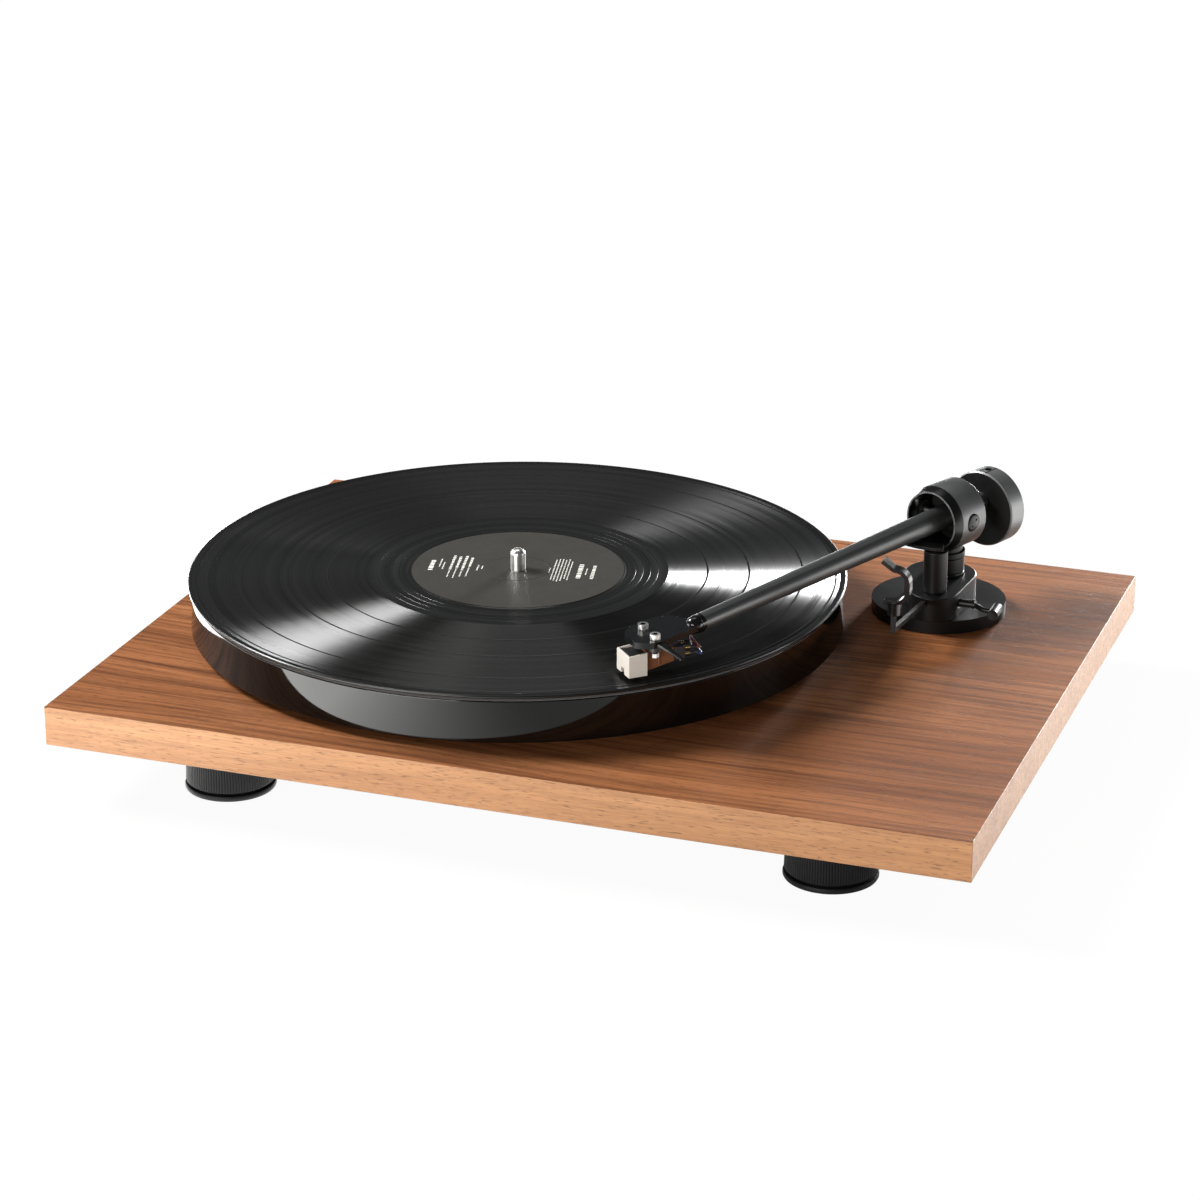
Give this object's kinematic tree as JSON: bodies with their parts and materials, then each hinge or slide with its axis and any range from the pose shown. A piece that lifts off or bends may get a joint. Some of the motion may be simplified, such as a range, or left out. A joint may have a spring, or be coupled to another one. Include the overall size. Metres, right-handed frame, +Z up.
{
  "type": "turntable record player",
  "caption": "Belt-drive turntable on a wooden plinth with round feet, a record on its platter and a pivoted tonearm with cueing lift and arm rest.",
  "frame": {"origin": "middle of the footprint on the plane the four feet stand on, under the plinth's centre", "axes": "+X along the plinth's length to the right, the tonearm's side; +Y to the back, where the connectors are; +Z up"},
  "size_m": [0.415, 0.317, 0.1047],
  "materials": {
    "walnut_veneer": "satin clear-coated walnut veneer, grain along X",
    "foot_rubber": "matt, finely ribbed",
    "platter_gloss": "polished black",
    "mat_felt": "short felt",
    "vinyl": "grooved black vinyl",
    "satin_black": "satin black",
    "shell_black": "semi-gloss black",
    "ring_grey": "satin dark grey",
    "bright_steel": "polished",
    "zinc_steel": "plated",
    "brass": "machined",
    "white_plastic": "fine moulded, warm white",
    "copper_plastic": "copper brown",
    "board_green": "solder mask",
    "drive_rubber": "flat belt",
    "jack_black": "moulded"
  },
  "bodies": {
    "base": {"plinth": "walnut_veneer", "foot_front_left": "foot_rubber", "foot_pad_front_left": "foot_rubber", "foot_front_right": "foot_rubber", "foot_pad_front_right": "foot_rubber", "foot_rear_left": "foot_rubber", "foot_pad_rear_left": "foot_rubber", "foot_rear_right": "foot_rubber", "foot_pad_rear_right": "foot_rubber", "base_cover": "satin_black", "control_board": "board_green", "arm_post_nut": "zinc_steel", "connector_plate": "satin_black", "rca_jack_left": "bright_steel", "rca_jack_right": "bright_steel", "ground_post": "brass", "dc_inlet": "jack_black", "switch_bezel": "satin_black", "belt": "drive_rubber", "arm_base_disc": "satin_black", "arm_base_block": "satin_black", "arm_post": "satin_black", "yaw_bearing_upper": "bright_steel", "yaw_bearing_lower": "bright_steel", "lift_column": "satin_black", "arm_rest_bracket": "satin_black", "arm_rest_clip": "satin_black", "bearing_housing": "bright_steel", "bearing_bush": "brass", "thrust_ball": "bright_steel", "motor_body": "zinc_steel", "motor_plate": "zinc_steel"},
    "platter_body": {"platter_shaft": "bright_steel", "sub_platter": "satin_black", "platter": "platter_gloss", "platter_mat": "mat_felt", "record": "vinyl"},
    "pulley_body": {"pulley": "brass", "motor_shaft": "bright_steel"},
    "arm_yaw_body": {"yaw_spindle": "bright_steel", "arm_yoke": "satin_black", "bearing_ring": "ring_grey", "pivot_cap_right": "satin_black", "pivot_cap_left": "satin_black"},
    "arm_body": {"arm_tube": "satin_black", "pivot_axle": "bright_steel", "tube_collar": "shell_black", "headshell": "shell_black", "finger_lift": "shell_black", "cartridge_mount": "shell_black", "cartridge_body": "copper_plastic", "terminal_block": "satin_black", "stylus_block": "white_plastic", "stylus_cantilever": "bright_steel", "cartridge_screw_left": "bright_steel", "cartridge_screw_right": "bright_steel"},
    "counterweight_body": {"counterweight": "ring_grey"},
    "lift_bar_body": {"lift_bar": "satin_black"},
    "lift_lever_body": {"lift_lever": "satin_black"},
    "rocker_body": {"power_rocker": "shell_black"}
  },
  "joints": [
    {"name": "platter_spin", "type": "hinge", "parent": "base", "child": "platter_body", "pos_m": [-0.0491, 0.0063, 0], "axis": [0, 0, 1], "continuous": true},
    {"name": "pulley_spin", "type": "hinge", "parent": "base", "child": "pulley_body", "pos_m": [-0.14436, 0.0613, 0], "axis": [0, 0, 1], "continuous": true},
    {"name": "tonearm_yaw", "type": "hinge", "parent": "base", "child": "arm_yaw_body", "pos_m": [0.1315, 0.087, 0.089], "axis": [0, 0, 1], "range_deg": [-24.5, 24.3]},
    {"name": "tonearm_pitch", "type": "hinge", "parent": "arm_yaw_body", "child": "arm_body", "pos_m": [0.1315, 0.087, 0.089], "axis": [-0.9178, 0.3971, 0], "range_deg": [0, 1.8]},
    {"name": "counterweight_slide", "type": "slide", "parent": "arm_body", "child": "counterweight_body", "axis": [0.3971, 0.9176, 0.0209], "range_m": [-0.011, 0.008]},
    {"name": "lift_lever_turn", "type": "hinge", "parent": "base", "child": "lift_lever_body", "pos_m": [0.145, 0.065, 0.0555], "axis": [-1, 0, 0], "range_deg": [0, 80]},
    {"name": "lift_bar_rise", "type": "slide", "parent": "base", "child": "lift_bar_body", "axis": [0, 0, 1], "range_m": [0, 0.00077]},
    {"name": "power_rocker_tilt", "type": "hinge", "parent": "base", "child": "rocker_body", "pos_m": [-0.095, -0.128, 0.023], "axis": [0, 1, 0], "range_deg": [-8, 8]}
  ],
  "couplings": [
    {"joint": "pulley_spin", "follows": "platter_spin", "ratio": 9.117},
    {"joint": "tonearm_pitch", "follows": "lift_bar_rise", "rad_per_m": 40.8},
    {"joint": "lift_lever_turn", "follows": "lift_bar_rise", "rad_per_m": 1813.3}
  ]
}
